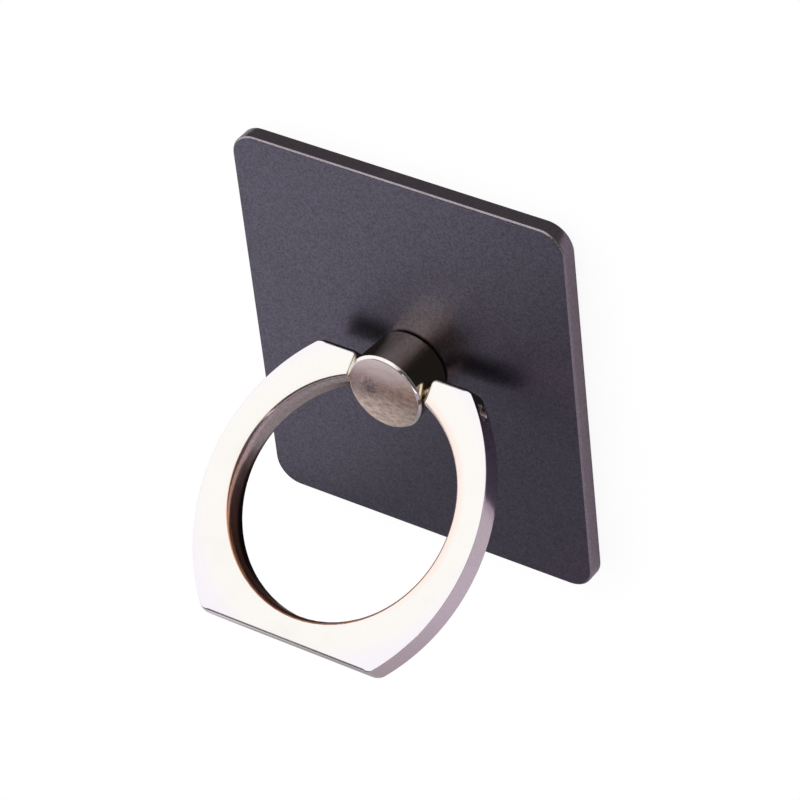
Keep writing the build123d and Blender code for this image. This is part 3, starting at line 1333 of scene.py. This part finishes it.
    def glowing(self, nodes: NodeTree, matt: Colour, light: Colour, strength: float) -> Socket:
        """A matt shader of one colour that also gives light of another."""
        pale = nodes.add("ShaderNodeBsdfDiffuse", {"Color": matt})
        glow = nodes.add("ShaderNodeEmission", {"Color": light, "Strength": strength})
        return nodes.add("ShaderNodeAddShader", {0: pale.outputs[0], 1: glow.outputs[0]}).outputs[0]

    def floor(self) -> None:
        """The pale floor: white to the eye with a share that takes the shadow, plain in reflections."""
        made, nodes = new_material("pale_floor")
        path = nodes.add("ShaderNodeLightPath").outputs
        seen = nodes.math("MAXIMUM", path["Is Camera Ray"], path["Is Transmission Ray"])
        plain = self.glowing(nodes, self.floor_colour, self.lift_colour, self.floor_lift)
        catcher = (self.floor_share, self.floor_share, self.floor_share, 1.0)
        bright = self.glowing(nodes, catcher, WHITE, self.floor_glow)
        nodes.surface(nodes.add("ShaderNodeMixShader", {0: seen, 1: plain, 2: bright}))
        half = self.floor_half
        self.flat_card("floor", level_corners(0.0, -half, half, -half, half), made)

    def mirrored_only(self, card: bpy.types.Object) -> None:
        """Keeps a card for reflections: the camera, the soft light and the shadows pass it."""
        card.visible_camera = card.visible_diffuse = card.visible_shadow = False

    def bench_card(self) -> None:
        """The bench in reflections: bright to the left, dim to the right, with a painted shadow at its
        left foot.
        """
        made, nodes = new_material("bench_card")
        axis = nodes.axes(nodes.place())
        share = nodes.spread(axis["X"], metres(self.card_run), RISE)
        # Painted shadow: the card's light drops to card_foot_share low down, left of card_foot_run.
        foot = nodes.spread(axis["Z"], metres(self.card_foot), (self.card_foot_share, 1.0))
        right = nodes.spread(axis["X"], metres(self.card_foot_run), RISE)
        ramp = nodes.add("ShaderNodeValToRGB", {"Fac": share})
        levels = (
            (0.0, (1.05, 1.05, 1.05, 1)),
            (0.16, (0.95, 0.95, 0.95, 1)),
            (0.31, (0.84, 0.84, 0.84, 1)),
            (0.40, (0.72, 0.72, 0.72, 1)),
            (0.49, (0.42, 0.42, 0.42, 1)),
            (0.68, (0.40, 0.40, 0.41, 1)),
            (0.74, (0.40, 0.355, 0.365, 1)),
            (0.81, (0.45, 0.40, 0.43, 1)),
            (0.90, (0.55, 0.50, 0.55, 1)),
        )
        stops = ramp.color_ramp.elements
        ready = len(stops)
        for number, (spot, level) in enumerate(levels):
            stop = stops[number] if number < ready else stops.new(spot)
            stop.position, stop.color = spot, level
        strength = nodes.math("MAXIMUM", foot, right)
        inputs = {"Color": ramp.outputs["Color"], "Strength": strength}
        nodes.surface(nodes.add("ShaderNodeEmission", inputs))
        half, y = self.card_half, self.card_place
        low, high = self.card_height
        corners = np.array([(-half, y, low), (half, y, low), (half, y, high), (-half, y, high)])
        self.mirrored_only(self.flat_card("bench_card", corners, made))

    def level_card(
        self, name: str, level: float, edges: Edges, colour: Colour, strength: float, wedge: bool = False
    ) -> None:
        """A level card for reflections, seen from above only: what lies below it still mirrors the sky.

        Args:
            name: Name of the card.
            level: Its height.
            edges: Its left, right, low and high edges.
            colour: Its colour.
            strength: Its light.
            wedge: Whether it is clear in the wedge behind the post, with soft edges.
        """
        made, nodes = new_material(name)
        light = nodes.add("ShaderNodeEmission", {"Color": colour, "Strength": strength})
        hidden = nodes.add("ShaderNodeNewGeometry").outputs["Backfacing"]
        if wedge:
            axis = nodes.axes(nodes.place())
            angle = nodes.math("ARCTAN2", axis["Y"], axis["X"])
            inside = nodes.spread(angle, radians(self.wedge_start), RISE, True)
            outside = nodes.spread(angle, radians(self.wedge_end), FALL, True)
            hidden = nodes.math("MAXIMUM", hidden, nodes.math("MULTIPLY", inside, outside))
        clear = nodes.add("ShaderNodeBsdfTransparent")
        inputs = {0: hidden, 1: light.outputs[0], 2: clear.outputs[0]}
        nodes.surface(nodes.add("ShaderNodeMixShader", inputs))
        self.mirrored_only(self.flat_card(name, level_corners(level, *edges), made))

    def flags(self) -> None:
        """Level cards: dark above and below the plate, lilac to its right, black round the post."""
        floor, plate, dark = self.over_floor, self.over_plate, self.flag_colour
        self.level_card("upper_flag", floor, self.upper_edges, dark, self.flag)
        self.level_card("lower_flag", floor, self.lower_edges, dark, self.flag)
        self.level_card("side_card", floor, self.side_edges, self.side_colour, self.side_glow)
        self.level_card("post_flag", plate, self.post_edges, dark, self.post_flag, wedge=True)

    def build(self) -> None:
        """Makes the whole studio."""
        bpy.context.scene.view_settings.view_transform = "Standard"
        self.sky()
        self.floor()
        self.bench_card()
        self.flags()


@dataclass
class PhotoCamera:
    """The camera at the photograph's viewing angle, for a square image. Its clip ends are in metres."""

    place: Size3 = (186.084, 236.272, 240.414)
    aim: Size3 = (-1.97, -4.897, 2.5)
    standing: Size3 = (0.0, 1.0, -0.1666)
    lens: float = 192.88
    sensor: float = 36.0
    clip: Span = (0.005, 20.0)

    def build(self) -> None:
        """Makes the camera: it looks from its place at the aim, its top along the standing hint."""
        data = bpy.data.cameras.new("photo_camera")
        data.lens, data.sensor_width = self.lens, self.sensor
        data.clip_start, data.clip_end = self.clip
        camera = linked("photo_camera", data)
        back = (Vector(self.place) - Vector(self.aim)).normalized()
        right = Vector(self.standing).cross(back).normalized()
        top = back.cross(right)
        turn = Matrix((right, top, back)).transposed().to_4x4()
        camera.matrix_world = Matrix.Translation(Vector(self.place) * MM) @ turn
        bpy.context.scene.camera = camera


def main() -> None:
    """Builds the camera, the studio and the pieces in order."""
    logging.basicConfig(level=logging.INFO, format="%(name)s: %(message)s")
    PhotoCamera().build()
    Studio().build()
    effects = SurfaceEffects()
    for assembly in (BasePlate(), SwivelPost(), FingerRing()):
        assembly.build(effects)
        LOG.info("%s done", type(assembly).__name__)


if __name__ == "__main__":
    main()
